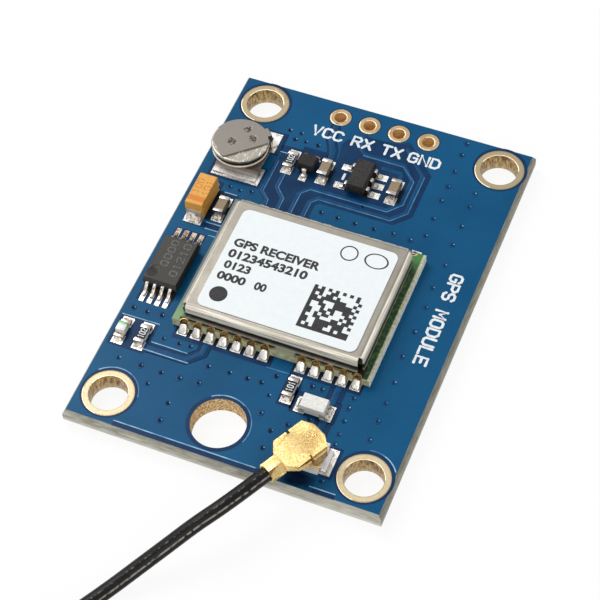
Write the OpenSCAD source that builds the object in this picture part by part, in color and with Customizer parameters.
// Satellite receiver board with a shielded module and a plugged-in antenna lead.
// Millimetres. The board lies flat, its underside on z = 0 and its middle on the origin.
// +X runs along the short side, +Y along the long side towards the header holes.

/* [Board] */
// Width of the board over its broken edges
board_w = 25.2; // [25:0.1:30]
// Length of the board over its broken edges
board_l = 35.2; // [35:0.1:42]
// Thickness of the board
board_t = 1.6; // [1:0.1:2.4]
// How far a scored edge slopes in at each face
score_inset = 0.25; // [0.05:0.05:0.3]
// How deep the score goes from each face
score_depth = 0.45; // [0.2:0.05:0.45]
// Thickness of lands and of hole plating
copper_t = 0.05; // [0.03:0.01:0.1]

/* [Mounting holes] */
// Distance of the left mounting holes from the left edge
hole_in_left = 2.6; // [2.5:0.05:4]
// Distance of the right mounting holes from the right edge
hole_in_right = 2.3; // [2.25:0.05:2.4]
// Distance of the front mounting holes from the front edge
hole_in_front = 2.65; // [2.5:0.05:4]
// Distance of the back mounting holes from the back edge
hole_in_back = 2.45; // [2.3:0.05:2.6]
// Inner diameter of a plated mounting hole
hole_d = 3.0; // [2.4:0.1:3]
// Width of the bare ring around a mounting hole
hole_ring = 0.5; // [0.2:0.05:0.5]
// Diameter of the plain hole in front of the receiver
strap_hole_d = 4.2; // [3:0.1:4.4]

/* [Header holes] */
// Distance from one header hole to the next
header_pitch = 2.54; // [2:0.01:2.6]
// Inner diameter of a plated header hole
header_d = 1.0; // [0.8:0.05:1.1]
// Width of the ring around a header hole
header_ring = 0.4; // [0.25:0.05:0.45]

/* [Receiver carrier] */
// Length of the carrier along the board's short side
carrier_w = 16.0; // [15.8:0.1:16.6]
// Width of the carrier along the board's long side
carrier_l = 12.2; // [12:0.1:12.6]
// Thickness of the carrier
carrier_t = 0.8; // [0.6:0.05:1.2]
// Distance between neighbouring half holes
castle_pitch = 1.1; // [1:0.01:1.12]
// Gap between the two groups of half holes, centre to centre
castle_gap = 3.0; // [2.6:0.1:3.2]
// Diameter of a half hole
castle_d = 0.7; // [0.4:0.05:0.75]
// Width of a receiver land
receiver_land_w = 0.8; // [0.7:0.05:0.9]
// How far a receiver land shows beyond the carrier
receiver_land_out = 0.7; // [0.6:0.05:1]
// Height of the solder at a half hole
receiver_solder_h = 0.6; // [0.3:0.05:0.6]

/* [Shield can] */
// Size of the can along the board's short side
can_w = 14.65; // [14.2:0.05:14.9]
// Size of the can along the board's long side
can_l = 11.05; // [10.7:0.05:11.2]
// Height of the can above the carrier
can_h = 1.6; // [1.4:0.05:2.4]
// Thickness of the can's sheet
can_sheet = 0.15; // [0.1:0.01:0.25]
// Outer radius of the can's bends
can_bend = 0.4; // [0.3:0.05:0.6]
// Size of the label along the board's short side
label_w = 12.8; // [8:0.1:13]
// Size of the label along the board's long side
label_l = 9.6; // [6:0.05:9.6]
// Radius of the label's corners
label_r = 0.6; // [0.2:0.05:1.5]
// Thickness of the label
label_t = 0.08; // [0.04:0.01:0.15]
// Side of the receiver chip under the can
core_chip_w = 6.0; // [4:0.1:6.4]
// Height of the receiver chip under the can
core_chip_h = 0.85; // [0.5:0.05:1]
// Length of the crystal under the can
crystal_l = 2.5; // [1.6:0.1:3.2]
// Length of the antenna filter under the can
filter_l = 1.4; // [1:0.1:2]

/* [Backup cell] */
// Diameter of the cell
cell_d = 4.7; // [4.4:0.05:4.8]
// Height of the cell's narrow lower shell
cell_case_h = 0.3; // [0.3:0.05:0.7]
// Height of the rim of the lower shell
cell_rim_h = 0.2; // [0.1:0.05:0.3]
// Height of the seal between the shells
cell_gasket_h = 0.38; // [0.1:0.02:0.4]
// Height of the upper shell
cell_cap_h = 0.27; // [0.2:0.01:0.5]
// Thickness of the welded tabs
cell_tab_t = 0.15; // [0.1:0.01:0.2]
// Distance of the top tab's straight edge from the cell's middle
cell_tab_edge = 1.23; // [0.9:0.01:1.6]
// Distance of the top tab's square end from the cell's middle
cell_tab_end = 2.05; // [1.8:0.01:2.2]
// Lean of the soldered cell towards the back edge
cell_tilt = 5; // [0:0.5:6]
// Width of the top tab's leg
cell_leg_w = 0.9; // [0.8:0.1:1.2]

/* [Tantalum capacitor] */
// Width of the moulded body
tantalum_w = 1.6; // [1.4:0.05:1.7]
// Length of the moulded body
tantalum_l = 3.2; // [3:0.05:3.3]
// Height of the moulded body
tantalum_h = 1.5; // [1:0.05:1.8]
// Thickness of its folded terminals
tantalum_strip = 0.1; // [0.06:0.01:0.15]

/* [Chips] */
// Width of the ceramic capacitors, resistors and the LED
chip_w = 0.8; // [0.7:0.02:0.86]
// Length of the ceramic capacitors, resistors and the LED
chip_l = 1.6; // [1.5:0.02:1.7]
// Height of a ceramic capacitor
capacitor_h = 0.8; // [0.5:0.05:0.9]
// Height of a resistor's ceramic body with its end metal
resistor_h = 0.45; // [0.35:0.05:0.6]
// Length of the metal at each end of a chip
chip_end = 0.32; // [0.2:0.02:0.4]
// Thickness of the metal at the ends of a chip
chip_skin = 0.03; // [0.02:0.01:0.05]
// Height of the LED's lens over its base
led_lens_h = 0.4; // [0.2:0.05:0.6]
// Length of the inductor
inductor_l = 2.0; // [1.8:0.05:2.1]
// Width of the inductor
inductor_w = 1.25; // [1:0.05:1.3]
// Height of the inductor
inductor_h = 0.95; // [0.7:0.05:1.2]
// How far a fillet of solder reaches out from a chip
fillet_out = 0.36; // [0.2:0.02:0.4]
// How high a fillet of solder climbs on a chip
fillet_up = 0.34; // [0.15:0.01:0.36]

/* [Packages with leads] */
// Thickness of the leads' sheet
lead_sheet = 0.13; // [0.1:0.01:0.15]
// How far a moulded package slopes in at top and bottom
mould_draft = 0.1; // [0.04:0.01:0.15]
// Gap between a moulded package and its lands
package_lift = 0.1; // [0.05:0.01:0.2]
// Width of the memory's body
memory_w = 2.9; // [2.6:0.05:3]
// Length of the memory's body
memory_l = 4.4; // [4.2:0.05:4.5]
// Height of the memory's body
memory_h = 0.9; // [0.7:0.05:1.2]
// Distance between the memory's leads
memory_pitch = 0.65; // [0.55:0.01:0.7]
// Width of a memory lead
memory_lead_w = 0.25; // [0.2:0.01:0.3]
// Width of the regulator's body
regulator_w = 1.6; // [1.4:0.05:1.7]
// Length of the regulator's body
regulator_l = 2.9; // [2.7:0.05:3]
// Height of the regulator's body
regulator_h = 1.0; // [0.8:0.05:1.2]
// Distance between the regulator's leads
regulator_pitch = 0.95; // [0.85:0.01:1]
// Width of the diode's body
diode_w = 1.5; // [1.2:0.05:1.55]
// Length of the diode's body
diode_l = 1.3; // [1.2:0.05:1.4]
// Height of the diode's body
diode_h = 0.85; // [0.6:0.05:1.1]

/* [Antenna socket] */
// Side of the socket's square base
socket_w = 2.6; // [2.4:0.05:2.7]
// Height of the socket's base
socket_base_h = 0.35; // [0.25:0.05:0.5]
// Outer diameter of the socket's collar
socket_collar_d = 1.96; // [1.8:0.02:2]
// Wall of the socket's collar
socket_wall = 0.18; // [0.1:0.01:0.25]
// Height of the socket's collar above its plate
socket_collar_h = 0.85; // [0.6:0.05:0.9]
// Diameter of the socket's centre pin
socket_pin_d = 0.5; // [0.4:0.02:0.6]

/* [Antenna plug] */
// Thickness of the plug's folded sheet
plug_sheet = 0.12; // [0.08:0.01:0.16]
// Height of the plug from its rim to its top
plug_h = 1.75; // [1.7:0.05:2.1]
// Width of the plug's head over its folded sides
plug_w = 2.84; // [2.7:0.02:3]
// Distance from the plug's middle to its back edge
plug_back = 1.28; // [1.25:0.01:1.5]
// Distance from the plug's middle to the end of its sides
plug_sides = 1.85; // [1.7:0.05:2]
// Height of the lead's axis over the plug's rim
plug_axis_h = 1.05; // [0.9:0.01:1.05]
// Length of the crimped barrel
crimp_l = 1.25; // [0.8:0.05:1.4]
// Clearance between parts that slide into each other
fit_gap = 0.02; // [0.01:0.01:0.04]

/* [Antenna lead] */
// Diameter of the antenna lead
lead_d = 1.15; // [0.8:0.05:1.2]
// Radius of the coil at the middle of its turns
coil_r = 6.4; // [6:0.1:7]
// Width of the band that ties the coil
tie_w = 1.2; // [0.6:0.1:2]
// Thickness of the band that ties the coil
tie_t = 0.2; // [0.1:0.05:0.2]

/* [Hidden] */
$fn = 64;

// Edges of the board and of the receiver's carrier
left_x = -board_w / 2;
right_x = board_w / 2;
front_y = -board_l / 2;
back_y = board_l / 2;
receiver_gap = 4.55;
receiver_spot = [left_x + receiver_gap + carrier_w / 2, -0.044 * board_l];
receiver_front = receiver_spot[1] - carrier_l / 2;

// Where each piece sits: along the left edge and the back row by shares of the board's length,
// in front of the receiver by its front edge
header_spot = [0.2, back_y - 1.7];
strap_spot = [-1.3, front_y + 3.15];
can_spot = receiver_spot + [-0.035, -0.226];
label_spot = can_spot + [0.135, -0.23];
core_chip_spot = can_spot + [-2.6, 0];
crystal_spot = can_spot + [3.4, 2.6];
filter_spot = can_spot + [4.4, -2.8];
cell_spot = [left_x + 2.8, 0.2727 * board_l];
cell_land_spot = cell_spot + [0.52, -1.85];
tantalum_spot = [left_x + 1.92, 0.1122 * board_l];
memory_spot = [left_x + 2.3, -0.081 * board_l];
led_spot = [left_x + 1.22, -0.27 * board_l];
back_row_y = 0.2862 * board_l;
socket_spot = [right_x - 6.8, receiver_front - 7.0];
inductor_spot = [socket_spot[0] - 0.95, receiver_front - 3.22];
capacitor_spots = [[left_x + 3.67, 0.1057 * board_l], [left_x + 9.94, back_row_y - 0.02],
    [left_x + 15.84, back_row_y - 0.02]];
resistor_spots = [[left_x + 2.9, -0.2688 * board_l], [left_x + 6.95, back_row_y + 0.03],
    [socket_spot[0] - 3.23, receiver_front - 2.27]];
regulator_spot = [left_x + 12.97, back_row_y + 0.11];
diode_spot = [left_x + 8.45, back_row_y + 0.03];

// Heights of the faces that pieces sit on
land_z = board_t + copper_t;
carrier_top = land_z + carrier_t;
can_top = carrier_top + can_h;
cell_foot_r = cell_d / 2 - 0.6;
cell_z = land_z + cell_tab_t + cell_foot_r * sin(cell_tilt);
cell_gasket_z = cell_case_h + cell_rim_h;
cell_cap_z = cell_gasket_z + cell_gasket_h;
cell_h = cell_cap_z + cell_cap_h;
cell_tab_turn = -46;
cell_leg_shift = 0.12;
package_z = land_z + package_lift;
socket_top = land_z + socket_base_h;
socket_plate_top = socket_top + plug_sheet;
plug_z = socket_plate_top;

// Mounting and header holes
hole_r = hole_d / 2;
hole_ring_r = hole_r + hole_ring;
header_r = header_d / 2;
header_ring_r = header_r + header_ring;
hole_spots = [for (x = [left_x + hole_in_left, right_x - hole_in_right])
    for (y = [front_y + hole_in_front, back_y - hole_in_back]) [x, y]];
header_spots = [for (i = [0 : 3]) header_spot + [(i - 1.5) * header_pitch, 0]];

// Half holes along the carrier: seven, a gap, then five
castle_row = 10 * castle_pitch + castle_gap;
castle_x = [for (i = [0 : 11]) -castle_row / 2 + i * castle_pitch + (i > 6 ? castle_gap - castle_pitch : 0)];
castle_in = 0.5;

// Lands of the small parts
chip_spots = concat(capacitor_spots, resistor_spots, [led_spot]);
chip_land_w = chip_w + 0.1;
chip_land_l = 0.85;
chip_land_y = chip_l / 2 + 0.03;
memory_span = memory_l + 2.0;
memory_lead_x = [for (i = [0 : 3]) (i - 1.5) * memory_pitch];
regulator_span = regulator_w + 1.3;
diode_span = diode_l + 1.0;
diode_pair = 0.95;

// The plug's turn on the socket and the lead's way out of it
plug_turn = -28;
crimp_start = plug_sides + 0.6;
crimp_end = crimp_start + crimp_l;
crimp_bore_r = lead_d / 2 + fit_gap;
crimp_r = crimp_bore_r + plug_sheet;
plug_ring_r = socket_collar_d / 2 + fit_gap + plug_sheet;
plug_slot = 0.72;
plug_slot_w = 0.22;
lead_out = [sin(plug_turn), -cos(plug_turn), 0];

// Route of the lead: level out of the plug, down to the table, then along it to the coil
lead_z = plug_z + plug_axis_h;
lead_seat = concat(socket_spot + crimp_start * [lead_out[0], lead_out[1]], [lead_z]);
plug_spot = concat(socket_spot, [0]);
lead_points = [for (p = [[-3.7, -6.8, 3.08], [-5.0, -8.6, 2.65], [-6.3, -10.4, 2.0], [-7.6, -12.2, 1.35],
    [-8.9, -14.2, 0.9], [-10.3, -16.5, 0.73], [-11.9, -19.2, 0.75]]) plug_spot + p];
coil_spot = socket_spot + [-7.8, -24.8];
coil_start = 150;
coil_lower = 322;
coil_upper_start = 90;
coil_upper_end = 300;
coil_side = lead_d + 0.05;
coil_z = tie_t;
coil_in = [-sin(coil_start), cos(coil_start), 0];
coil_seat = [coil_spot[0] + coil_r * cos(coil_start), coil_spot[1] + coil_r * sin(coil_start),
    coil_z + coil_side / 2];
lead_route = concat([lead_seat, lead_seat + (crimp_l + 0.4) * lead_out,
    lead_seat + (crimp_l + 2.2) * lead_out],
    lead_points, [coil_seat]);
tie_angle = 210;

// Route of the lead's other end: off the coil and down to a plug that lies on the table
tail_out = [-sin(coil_upper_end), cos(coil_upper_end), 0];
tail_seat = [coil_spot[0] + coil_r * cos(coil_upper_end), coil_spot[1] + coil_r * sin(coil_upper_end), 0];
tail_top = coil_z + coil_side * 1.5;
far_run = 11.1;
tail_route = [tail_seat + [0, 0, tail_top], tail_seat + 2.5 * tail_out + [0, 0, tail_top],
    tail_seat + 4.6 * tail_out + [0, 0, tail_top - 0.05], tail_seat + 7 * tail_out + [0, 0, 1.4],
    tail_seat + 9.2 * tail_out + [0, 0, plug_axis_h + 0.05],
        tail_seat + far_run * tail_out + [0, 0, plug_axis_h],
    tail_seat + (far_run + crimp_l) * tail_out + [0, 0, plug_axis_h]];
far_spot = tail_seat + (far_run + crimp_end) * tail_out;
far_turn = coil_upper_end;

// Shapes that repeat
// Block standing on height z, centred on a spot
module slab(spot, z, w, l, h) {
    translate([spot[0] - w / 2, spot[1] - l / 2, z]) cube([w, l, h]);
}

// Prism whose outline lies in the plane of y and z, centred on x
module along_x(w) {
    translate([-w / 2, 0, 0]) rotate([90, 0, 90]) linear_extrude(w) children();
}

// Prism whose outline lies in the plane of x and z, centred on y
module along_y(l) {
    translate([0, l / 2, 0]) rotate([90, 0, 0]) linear_extrude(l) children();
}

// Plated barrel with a ring at each face, flush with the board
module eyelet(r, ring_r) {
    rotate_extrude() polygon([[r, 0], [ring_r, 0], [ring_r, copper_t], [r + copper_t, copper_t],
        [r + copper_t, board_t - copper_t], [ring_r, board_t - copper_t], [ring_r, board_t], [r, board_t]]);
}

// What the board gives up for one eyelet
module eyelet_seat(r, ring_r) {
    translate([0, 0, -1]) cylinder(r = r + copper_t, h = board_t + 2);
    translate([0, 0, -1]) cylinder(r = ring_r, h = 1 + copper_t);
    translate([0, 0, board_t - copper_t]) cylinder(r = ring_r, h = 1);
}

// Rings on both faces around one plated hole
module ring_pair(r, ring_r) {
    for (z = [0, board_t - copper_t]) translate([0, 0, z]) difference() {
        cylinder(r = ring_r, h = copper_t);
        translate([0, 0, -1]) cylinder(r = r, h = 2 + copper_t);
    }
}

// What the board gives up for the hole and its rings
module ring_seat(r, ring_r) {
    translate([0, 0, -1]) cylinder(r = r, h = board_t + 2);
    translate([0, 0, -1]) cylinder(r = ring_r, h = 1 + copper_t);
    translate([0, 0, board_t - copper_t]) cylinder(r = ring_r, h = 1);
}

// Outline of the board across its scored edges
module scored(span) {
    polygon([[-span / 2 + score_inset, 0], [span / 2 - score_inset, 0], [span / 2, score_depth],
        [span / 2, board_t - score_depth], [span / 2 - score_inset, board_t],
        [-span / 2 + score_inset, board_t], [-span / 2, board_t - score_depth], [-span / 2, score_depth]]);
}

// Upright outline with its two top corners rounded
module arch(span, h, r) {
    translate([-span / 2, 0]) square([span, h - r]);
    translate([r - span / 2, 0]) square([span - 2 * r, h]);
    for (s = [-1, 1]) translate([s * (span / 2 - r), h - r]) circle(r);
}

// Sheet bent down on both sides
module folded(span) {
    difference() {
        arch(span, can_h, can_bend);
        translate([0, -1]) arch(span - 2 * can_sheet, can_h - can_sheet + 1, can_bend - can_sheet);
    }
}

// Outline of a moulded package, widest where its leads come out
module moulded(span, h) {
    polygon([[-span / 2 + mould_draft, 0], [span / 2 - mould_draft, 0], [span / 2, h / 2 - lead_sheet / 2],
        [span / 2, h / 2 + lead_sheet / 2], [span / 2 - mould_draft, h], [-span / 2 + mould_draft, h],
        [-span / 2, h / 2 + lead_sheet / 2], [-span / 2, h / 2 - lead_sheet / 2]]);
}

module package(spot, w, l, h) {
    translate([spot[0], spot[1], package_z]) intersection() {
        along_y(2 * l) moulded(w, h);
        along_x(2 * w) moulded(l, h);
    }
}

// Lead bent down to its land, from a package's face outwards along +Y
module gull_lead(w, face, toe, h) {
    out_z = package_lift + h / 2;
    knee = face + 0.16;
    foot = toe - 0.42;
    translate([0, 0, land_z]) along_x(w) polygon([[face, out_z + lead_sheet / 2],
        [knee, out_z + lead_sheet / 2],
        [knee + 0.1, out_z], [foot + lead_sheet, lead_sheet], [toe, lead_sheet], [toe, 0], [foot, 0],
        [knee - 0.06, out_z - lead_sheet / 2], [face, out_z - lead_sheet / 2]]);
}

// Hollow solder slope from a face outwards along +Y
module fillet(w, out, up) {
    along_x(w) polygon([[0, 0], [out, 0], [out * 0.55, up * 0.22], [out * 0.2, up * 0.55], [0, up]]);
}

// Metal wrapped over both ends of a chip that lies along Y
module chip_ends(spot, h) {
    difference() {
        for (s = [-1, 1]) slab(spot + [0, s * (chip_l - chip_end) / 2], land_z, chip_w, chip_end, h);
        chip_core(spot, h);
    }
}

// Body of a chip inside its end metal
module chip_core(spot, h) {
    slab(spot, land_z + chip_skin, chip_w - 2 * chip_skin, chip_l - 2 * chip_skin, h - 2 * chip_skin);
}

// Ring of points around a lead at a point of its route
function unit(v) = v / norm(v);
function heading(route, i, first, last) = i == 0 ? first : i == len(route) - 1 ? last
    : unit(route[i + 1] - route[i - 1]);
function ring(p, t) = let (s = unit(cross(t, [0, 0, 1])), u = cross(s, t))
    [for (k = [0 : 7]) p + lead_d / 2 * (cos(45 * k) * s + sin(45 * k) * u)];

// Round lead along a route
module lead_tube(route, first, last) {
    n = len(route);
    points = [for (i = [0 : n - 1]) each ring(route[i], heading(route, i, first, last))];
    sides = [for (i = [0 : n - 2]) for (k = [0 : 7])
        [8 * i + k, 8 * i + (k + 1) % 8, 8 * i + 8 + (k + 1) % 8, 8 * i + 8 + k]];
    polyhedron(points, concat([[for (k = [7 : -1 : 0]) k]], sides, [[for (k = [0 : 7]) 8 * n - 8 + k]]));
}

// Board
module board() {
    color([0.11, 0.32, 0.52]) difference() {
        intersection() {
            along_y(2 * board_l) scored(board_w);
            along_x(2 * board_w) scored(board_l);
        }
        for (p = hole_spots) translate(p) eyelet_seat(hole_r, hole_ring_r);
        for (p = header_spots) translate(p) ring_seat(header_r, header_ring_r);
        translate([strap_spot[0], strap_spot[1], -1]) cylinder(d = strap_hole_d, h = board_t + 2);
    }
}

module mounting_hole_plating() {
    color([0.85, 0.74, 0.5]) for (p = hole_spots) translate(p) eyelet(hole_r, hole_ring_r);
}

module header_hole_plating() {
    color([0.85, 0.72, 0.46]) for (p = header_spots) translate(p) ring_pair(header_r, header_ring_r);
}

module surface_lands() {
    color([0.82, 0.81, 0.79]) {
        for (x = castle_x) for (s = [-1, 1])
            slab(receiver_spot + [x, s * (carrier_l + receiver_land_out - castle_in) / 2], board_t,
                receiver_land_w, receiver_land_out + castle_in, copper_t);
        for (p = chip_spots) for (s = [-1, 1])
            slab(p + [0, s * chip_land_y], board_t, chip_land_w, chip_land_l, copper_t);
        for (s = [-1, 1])
            slab(inductor_spot + [s * (inductor_l / 2 + 0.05), 0], board_t, 0.85, inductor_w + 0.1,
            copper_t);
        for (s = [-1, 1])
            slab(tantalum_spot + [0, s * tantalum_l / 2], board_t, tantalum_w - 0.1, 1.35, copper_t);
        for (x = memory_lead_x) for (s = [-1, 1])
            slab(memory_spot + [x, s * memory_span / 2], board_t, memory_lead_w + 0.13, 1.0, copper_t);
        for (y = [-1, 0, 1])
            slab(regulator_spot + [regulator_span / 2, y * regulator_pitch], board_t, 0.95, 0.6,
            copper_t);
        for (y = [-1, 1])
            slab(regulator_spot + [-regulator_span / 2, y * regulator_pitch], board_t, 0.95, 0.6,
            copper_t);
        slab(diode_spot + [0, -diode_span / 2], board_t, 0.6, 0.7, copper_t);
        for (x = [-1, 1])
            slab(diode_spot + [x * diode_pair / 2, diode_span / 2], board_t, 0.5, 0.7, copper_t);
        slab(cell_land_spot, board_t, 4.05, 1.75, copper_t);
        slab(cell_spot + [2.05, 1.9], board_t, 1.4, 2.0, copper_t);
        for (s = [-1, 1]) slab(socket_spot + [s * (socket_w / 2 + 0.35), 0], board_t, 0.95, 2.25, copper_t);
        slab(socket_spot + [0, socket_w / 2 + 0.25], board_t, 0.9, 0.9, copper_t);
    }
}

// Receiver module
module receiver_carrier() {
    color([0.25, 0.42, 0.21]) difference() {
        slab(receiver_spot, land_z, carrier_w, carrier_l, carrier_t);
        for (x = castle_x) for (s = [-1, 1])
            translate([receiver_spot[0] + x, receiver_spot[1] + s * carrier_l / 2, land_z - 1])
                cylinder(d = castle_d, h = carrier_t + 2);
    }
}

module castellation_plating() {
    color([0.8, 0.64, 0.36]) intersection() {
        slab(receiver_spot, land_z, carrier_w, carrier_l, carrier_t);
        for (x = castle_x) for (s = [-1, 1])
            translate([receiver_spot[0] + x, receiver_spot[1] + s * carrier_l / 2, land_z]) difference() {
                cylinder(d = castle_d, h = carrier_t);
                translate([0, 0, -1]) cylinder(d = castle_d - 2 * copper_t, h = carrier_t + 2);
            }
    }
}

module receiver_solder() {
    solder_out = receiver_land_out - 0.05;
    solder_w = receiver_land_w - 0.05;
    color([0.86, 0.85, 0.83]) for (x = castle_x) for (s = [0, 180])
        translate([receiver_spot[0] + x, receiver_spot[1], land_z]) rotate([0, 0, s])
            translate([0, carrier_l / 2, 0]) intersection() {
                along_x(solder_w) polygon([[0, 0], [solder_out, 0],
                    [solder_out * 0.65, receiver_solder_h * 0.35],
                    [solder_out * 0.2, receiver_solder_h * 0.8], [0, receiver_solder_h]]);
                linear_extrude(receiver_solder_h) polygon([[-castle_d / 2 + 0.08, 0],
                    [castle_d / 2 - 0.08, 0],
                    [solder_w / 2, solder_out * 0.7], [solder_w / 2 - 0.05, solder_out],
                    [-solder_w / 2 + 0.05, solder_out], [-solder_w / 2, solder_out * 0.7]]);
            }
}

module shield_can() {
    color([0.72, 0.69, 0.65]) translate([can_spot[0], can_spot[1], carrier_top]) {
        along_x(can_w - 2 * can_bend) folded(can_l);
        along_y(can_l - 2 * can_bend) folded(can_w);
    }
}

module shield_label() {
    color([0.94, 0.95, 0.95]) translate([label_spot[0], label_spot[1], can_top]) linear_extrude(label_t) {
        square([label_w - 2 * label_r, label_l], center = true);
        square([label_w, label_l - 2 * label_r], center = true);
        for (x = [-1, 1]) for (y = [-1, 1])
            translate([x * (label_w / 2 - label_r), y * (label_l / 2 - label_r)]) circle(label_r);
    }
}

module receiver_chip() {
    color([0.16, 0.16, 0.17]) slab(core_chip_spot, carrier_top, core_chip_w, core_chip_w, core_chip_h);
}

module receiver_crystal() {
    color([0.78, 0.74, 0.62]) slab(crystal_spot, carrier_top, crystal_l, 2.0, 0.6);
}

module antenna_filter() {
    color([0.6, 0.56, 0.48]) slab(filter_spot, carrier_top, filter_l, 1.1, 0.5);
}

// Backup cell, leaning as it was soldered
module on_cell() {
    translate([cell_spot[0], cell_spot[1], cell_z]) rotate([-cell_tilt, 0, 0]) children();
}

module cell_case() {
    color([0.68, 0.66, 0.63]) on_cell() rotate_extrude()
        polygon([[0, 0], [cell_foot_r, 0], [cell_d / 2 - 0.5, 0.1], [cell_d / 2 - 0.5, cell_case_h],
            [cell_d / 2 - 0.1, cell_case_h], [cell_d / 2 - 0.05, cell_case_h + cell_rim_h / 2],
            [cell_d / 2 - 0.1, cell_gasket_z], [0, cell_gasket_z]]);
}

module cell_gasket() {
    color([0.06, 0.06, 0.06]) on_cell() translate([0, 0, cell_gasket_z])
        cylinder(r = cell_d / 2 - 0.14, h = cell_gasket_h);
}

module cell_cap() {
    color([0.72, 0.7, 0.67]) on_cell() translate([0, 0, cell_cap_z]) rotate_extrude()
        polygon([[0, 0], [cell_d / 2 - 0.04, 0], [cell_d / 2, 0.04], [cell_d / 2, cell_cap_h - 0.12],
            [cell_d / 2 - 0.04, cell_cap_h - 0.04], [cell_d / 2 - 0.14, cell_cap_h], [0, cell_cap_h]]);
}

module cell_top_tab() {
    leg_in = cell_d / 2 + 0.05;
    leg_out = leg_in + cell_tab_t;
    tab_top = cell_h + cell_tab_t;
    foot_top = land_z + cell_tab_t;
    color([0.66, 0.64, 0.61]) {
        on_cell() rotate([0, 0, cell_tab_turn]) {
            difference() {
                translate([0, 0, cell_h]) cylinder(r = cell_d / 2 - 0.1, h = cell_tab_t);
                translate([cell_tab_edge, -cell_d, 0]) cube([cell_d, 2 * cell_d, tab_top + 1]);
                translate([-cell_d, -cell_d - cell_tab_end, 0]) cube([2 * cell_d, cell_d, tab_top + 1]);
            }
            translate([cell_leg_shift, 0, 0]) along_x(cell_leg_w) polygon([[cell_d / 4, cell_h],
                [leg_in, cell_h],
                [leg_in, -0.1], [leg_out, -0.1], [leg_out, tab_top - 0.08], [leg_out - 0.08, tab_top],
                [cell_d / 4, tab_top]]);
        }
        translate([cell_spot[0], cell_spot[1], 0]) rotate([0, 0, cell_tab_turn])
            translate([cell_leg_shift, 0, 0])
            along_x(cell_leg_w) polygon([[leg_in - 0.02, land_z], [leg_out + 0.45, land_z],
                [leg_out + 0.45, foot_top], [leg_in - 0.02, foot_top]]);
    }
}

module cell_bottom_tab() {
    foot_top = land_z + cell_tab_t;
    function under(y) = cell_z - y * tan(cell_tilt);
    color([0.74, 0.73, 0.71]) translate([cell_land_spot[0] - 0.1, cell_spot[1], 0]) along_x(3.7)
        polygon([[1.2, under(1.2)], [-1.7, under(-1.7)], [-2.0, foot_top], [-2.5, foot_top], [-2.5, land_z],
            [-1.9, land_z], [-1.6, under(-1.6) - cell_tab_t], [1.2, under(1.2) - cell_tab_t]]);
}

// Tantalum capacitor
module tantalum_body() {
    notch = tantalum_strip;
    color([0.88, 0.58, 0.18]) translate([tantalum_spot[0], tantalum_spot[1], land_z + tantalum_strip])
        intersection() {
            along_y(2 * tantalum_l) polygon([[-tantalum_w / 2, 0], [tantalum_w / 2, 0],
                [tantalum_w / 2 - 0.07, tantalum_h], [-tantalum_w / 2 + 0.07, tantalum_h]]);
            along_x(2 * tantalum_w) polygon([[-tantalum_l / 2 + notch, 0], [tantalum_l / 2 - notch, 0],
                [tantalum_l / 2 - notch, tantalum_h * 0.45], [tantalum_l / 2, tantalum_h * 0.45],
                [tantalum_l / 2 - 0.06, tantalum_h], [-tantalum_l / 2 + 0.06, tantalum_h],
                [-tantalum_l / 2, tantalum_h * 0.45], [-tantalum_l / 2 + notch, tantalum_h * 0.45]]);
        }
}

module tantalum_terminals() {
    face = tantalum_l / 2 - tantalum_strip;
    color([0.85, 0.84, 0.82]) translate([tantalum_spot[0], tantalum_spot[1], land_z])
        for (s = [0, 180]) rotate([0, 0, s]) along_x(tantalum_w - 0.4) polygon([[face - 0.7, 0],
            [face + tantalum_strip, 0], [face + tantalum_strip, tantalum_strip + tantalum_h * 0.45],
            [face, tantalum_strip + tantalum_h * 0.45], [face, tantalum_strip],
                [face - 0.7, tantalum_strip]]);
}

// Ceramic capacitors, resistors and LED
module capacitor_bodies() {
    color([0.55, 0.48, 0.38]) for (p = capacitor_spots) chip_core(p, capacitor_h);
}

module capacitor_ends() {
    color([0.84, 0.83, 0.8]) for (p = capacitor_spots) chip_ends(p, capacitor_h);
}

module resistor_bodies() {
    color([0.9, 0.89, 0.86]) for (p = resistor_spots) chip_core(p, resistor_h);
}

module resistor_coats() {
    color([0.08, 0.08, 0.08]) for (p = resistor_spots)
        slab(p, land_z + resistor_h - chip_skin, chip_w - 2 * chip_skin, chip_l - 2 * chip_end, chip_skin);
}

module resistor_ends() {
    color([0.84, 0.83, 0.8]) for (p = resistor_spots) chip_ends(p, resistor_h);
}

module led_base() {
    color([0.86, 0.87, 0.82]) chip_core(led_spot, 0.3);
}

module led_ends() {
    color([0.84, 0.82, 0.76]) chip_ends(led_spot, 0.3);
}

module led_lens() {
    color([0.88, 0.92, 0.86]) translate([led_spot[0], led_spot[1], land_z + 0.3 - chip_skin])
        along_x(chip_w - 2 * chip_skin) polygon([[chip_end - chip_l / 2, 0], [chip_l / 2 - chip_end, 0],
            [chip_l / 2 - chip_end - 0.06, led_lens_h], [chip_end - chip_l / 2 + 0.06, led_lens_h]]);
}

module inductor_body() {
    color([0.9, 0.9, 0.88]) slab(inductor_spot, land_z + chip_skin, inductor_l - 2 * chip_skin,
        inductor_w - 2 * chip_skin, inductor_h - chip_skin);
}

module inductor_ends() {
    color([0.8, 0.79, 0.77]) difference() {
        for (s = [-1, 1]) slab(inductor_spot + [s * (inductor_l - 0.4) / 2, 0], land_z, 0.4, inductor_w,
            inductor_h * 0.62);
        inductor_body();
    }
}

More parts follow.
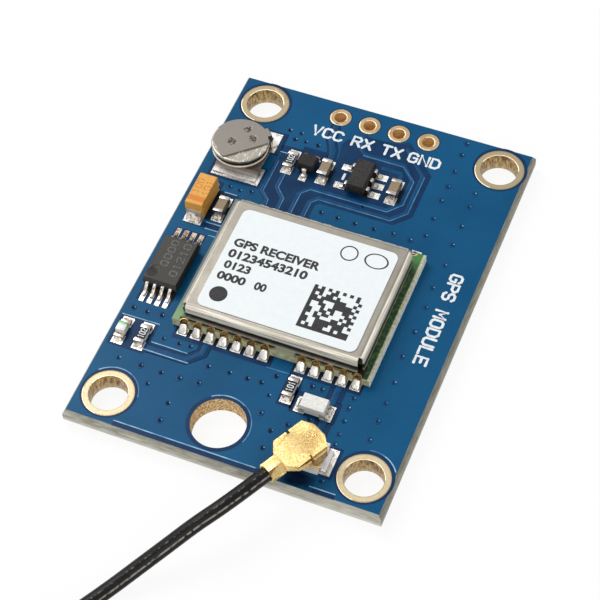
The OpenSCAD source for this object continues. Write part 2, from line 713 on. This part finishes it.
module chip_solder() {
    color([0.87, 0.86, 0.84]) {
        for (p = chip_spots) for (s = [0, 180]) translate([p[0], p[1], land_z]) rotate([0, 0, s])
            translate([0, chip_l / 2, 0]) fillet(chip_w, fillet_out, p == led_spot ? 0.22 : fillet_up);
        for (s = [90, 270]) translate([inductor_spot[0], inductor_spot[1], land_z]) rotate([0, 0, s])
            translate([0, inductor_l / 2, 0]) fillet(inductor_w, fillet_out, fillet_up + 0.1);
        for (s = [0, 180]) translate([tantalum_spot[0], tantalum_spot[1], land_z]) rotate([0, 0, s])
            translate([0, tantalum_l / 2, 0]) fillet(tantalum_w - 0.3, fillet_out + 0.25, fillet_up + 0.1);
    }
}

// Packages with leads
module memory_body() {
    color([0.2, 0.2, 0.21]) difference() {
        package(memory_spot, memory_w, memory_l, memory_h);
        translate([memory_spot[0] - memory_w / 4 - 0.02, memory_spot[1] - memory_l / 4,
            package_z + memory_h - 0.04])
            cylinder(r = 0.35, h = 1);
    }
}

module memory_leads() {
    color([0.86, 0.85, 0.82]) for (x = memory_lead_x) for (s = [0, 180])
        translate(memory_spot) rotate([0, 0, s]) translate([x, 0, 0])
            gull_lead(memory_lead_w, memory_l / 2, memory_span / 2, memory_h);
}

module regulator_body() {
    color([0.14, 0.14, 0.15]) package(regulator_spot, regulator_w, regulator_l, regulator_h);
}

module regulator_leads() {
    color([0.86, 0.85, 0.82]) translate(regulator_spot) {
        for (y = [-1, 0, 1]) rotate([0, 0, -90]) translate([y * regulator_pitch, 0, 0])
            gull_lead(0.38, regulator_w / 2, regulator_span / 2, regulator_h);
        for (y = [-1, 1]) rotate([0, 0, 90]) translate([y * regulator_pitch, 0, 0])
            gull_lead(0.38, regulator_w / 2, regulator_span / 2, regulator_h);
    }
}

module diode_body() {
    color([0.14, 0.14, 0.15]) package(diode_spot, diode_w, diode_l, diode_h);
}

module diode_leads() {
    color([0.86, 0.85, 0.82]) translate(diode_spot) {
        rotate([0, 0, 180]) gull_lead(0.35, diode_l / 2, diode_span / 2, diode_h);
        for (x = [-1, 1]) translate([x * diode_pair / 2, 0, 0])
            gull_lead(0.3, diode_l / 2, diode_span / 2, diode_h);
    }
}

// Antenna socket
module socket_base() {
    color([0.9, 0.88, 0.84]) difference() {
        slab(socket_spot, land_z, socket_w, socket_w, socket_base_h);
        slab(socket_spot + [0, socket_w / 2], land_z - 1, 0.5, socket_w, 1 + 0.12);
        translate([socket_spot[0], socket_spot[1], land_z - 1]) cylinder(d = socket_pin_d, h = 3);
    }
}

module socket_shell() {
    leg_in = socket_w / 2;
    leg_out = leg_in + plug_sheet;
    color([0.84, 0.7, 0.42]) translate([socket_spot[0], socket_spot[1], 0]) {
        translate([0, 0, socket_top]) difference() {
            union() {
                cylinder(d = socket_collar_d, h = plug_sheet + socket_collar_h);
                translate([-leg_out, -0.9, 0]) cube([2 * leg_out, 1.8, plug_sheet]);
            }
            translate([0, 0, -1]) cylinder(d = socket_collar_d - 2 * socket_wall, h = 4);
        }
        for (s = [-1, 1]) along_y(1.8) polygon([[s * leg_in, socket_top], [s * leg_in, land_z],
            [s * (leg_out + 0.35), land_z], [s * (leg_out + 0.35), land_z + plug_sheet],
            [s * leg_out, land_z + plug_sheet], [s * leg_out, socket_top]]);
    }
}

module socket_pin() {
    color([0.84, 0.7, 0.42]) translate([socket_spot[0], socket_spot[1], land_z]) {
        cylinder(d = socket_pin_d, h = socket_base_h + plug_sheet + socket_collar_h - 0.15);
        translate([-0.25, 0, 0]) cube([0.5, socket_w / 2 + 0.4, 0.12]);
    }
}

// Push-on plug, its rim on z = 0, its lead leaving along -Y
module plug_plan() {
    polygon([[-0.55, plug_back], [0.55, plug_back], [plug_w / 2, 0.75], [plug_w / 2, -plug_sides],
        [crimp_r, -crimp_start], [-crimp_r, -crimp_start], [-plug_w / 2, -plug_sides], [-plug_w / 2, 0.75]]);
}

module shell_solid() {
    color([0.88, 0.72, 0.4]) {
        difference() {
            intersection() {
                linear_extrude(plug_h) plug_plan();
                along_x(2 * plug_w) polygon([[plug_back, 0.4], [plug_back, plug_h - 0.1],
                    [plug_back - 0.1, plug_h],
                    [-plug_sides, plug_h], [-crimp_start, plug_axis_h + crimp_r],
                    [-crimp_start, plug_axis_h - 0.1], [-plug_sides, plug_h - 0.55], [-plug_slot, 0.65],
                    [-plug_slot, 0.3], [0.5, 0.3]]);
            }
            translate([0, 0, -1]) cylinder(r = plug_ring_r - plug_sheet, h = plug_h + 1 - plug_sheet);
            for (x = [-plug_w, plug_ring_r + 0.02]) translate([x, -plug_slot, -1])
                cube([plug_w - plug_ring_r - 0.02, plug_slot_w, plug_h + 2]);
        }
        difference() {
            cylinder(r = plug_ring_r, h = plug_h - plug_sheet / 2);
            translate([0, 0, -1]) cylinder(r = plug_ring_r - plug_sheet, h = plug_h + 1 - plug_sheet);
        }
        translate([0, -crimp_start, plug_axis_h]) rotate([90, 0, 0]) difference() {
            rotate([0, 0, 22.5]) cylinder(r = crimp_r / cos(22.5), h = crimp_l, $fn = 8);
            translate([0, 0, -1]) cylinder(r = crimp_bore_r, h = crimp_l + 2);
        }
    }
}

module insulator_solid() {
    core_r = plug_ring_r - plug_sheet;
    color([0.93, 0.92, 0.88]) difference() {
        union() {
            translate([0, 0, socket_collar_h + 0.1])
                cylinder(r = core_r, h = plug_h - plug_sheet - socket_collar_h - 0.1);
            translate([0, 0, 0.35])
                cylinder(r = socket_collar_d / 2 - socket_wall - fit_gap, h = plug_h - plug_sheet - 0.35);
        }
        translate([0, 0, -1])
            cylinder(r = socket_pin_d / 2 + fit_gap + plug_sheet, h = plug_h + 1 - plug_sheet - 0.2);
    }
}

module contact_solid() {
    color([0.84, 0.7, 0.42]) translate([0, 0, 0.35]) difference() {
        cylinder(r = socket_pin_d / 2 + fit_gap + plug_sheet, h = plug_h - plug_sheet - 0.55);
        translate([0, 0, -1]) cylinder(r = socket_pin_d / 2 + fit_gap, h = plug_h - plug_sheet - 0.55 + 0.8);
    }
}

module on_socket() {
    translate([socket_spot[0], socket_spot[1], plug_z]) rotate([0, 0, plug_turn]) children();
}

module on_table() {
    translate(far_spot) rotate([0, 0, far_turn]) children();
}

module plug_shell() { on_socket() shell_solid(); }
module plug_insulator() { on_socket() insulator_solid(); }
module plug_contact() { on_socket() contact_solid(); }
module far_plug_shell() { on_table() shell_solid(); }
module far_plug_insulator() { on_table() insulator_solid(); }
module far_plug_contact() { on_table() contact_solid(); }

// Antenna lead
module antenna_lead() {
    color([0.06, 0.06, 0.06]) lead_tube(lead_route, lead_out, coil_in);
}

module antenna_lead_coil() {
    color([0.06, 0.06, 0.06]) translate([coil_spot[0], coil_spot[1], coil_z]) {
        rotate([0, 0, coil_start]) rotate_extrude(angle = coil_lower)
            translate([coil_r - coil_side / 2, 0]) square(coil_side);
        rotate([0, 0, coil_upper_start]) rotate_extrude(angle = coil_upper_end - coil_upper_start)
            translate([coil_r - lead_d / 2, coil_side]) square([lead_d, coil_side]);
    }
}

module antenna_lead_tail() {
    color([0.06, 0.06, 0.06]) lead_tube(tail_route, tail_out, tail_out);
}

module lead_tie() {
    color([0.1, 0.1, 0.1]) translate([coil_spot[0], coil_spot[1], 0]) rotate([0, 0, tie_angle])
        translate([coil_r, 0, 0]) difference() {
            translate([-coil_side / 2 - tie_t, -tie_w / 2, 0])
                cube([coil_side + 2 * tie_t, tie_w, 2 * coil_side + 2 * tie_t]);
            translate([-coil_r, 0, coil_z]) rotate_extrude()
                union() {
                    translate([coil_r - coil_side / 2, 0]) square(coil_side);
                    translate([coil_r - lead_d / 2, coil_side]) square([lead_d, coil_side]);
                }
        }
}

board();
mounting_hole_plating();
header_hole_plating();
surface_lands();
receiver_carrier();
castellation_plating();
receiver_solder();
shield_can();
shield_label();
receiver_chip();
receiver_crystal();
antenna_filter();
cell_case();
cell_gasket();
cell_cap();
cell_top_tab();
cell_bottom_tab();
tantalum_body();
tantalum_terminals();
capacitor_bodies();
capacitor_ends();
resistor_bodies();
resistor_coats();
resistor_ends();
led_base();
led_lens();
led_ends();
memory_body();
memory_leads();
regulator_body();
regulator_leads();
diode_body();
diode_leads();
inductor_body();
inductor_ends();
chip_solder();
socket_base();
socket_shell();
socket_pin();
plug_shell();
plug_insulator();
plug_contact();
antenna_lead();
antenna_lead_coil();
antenna_lead_tail();
lead_tie();
far_plug_shell();
far_plug_insulator();
far_plug_contact();
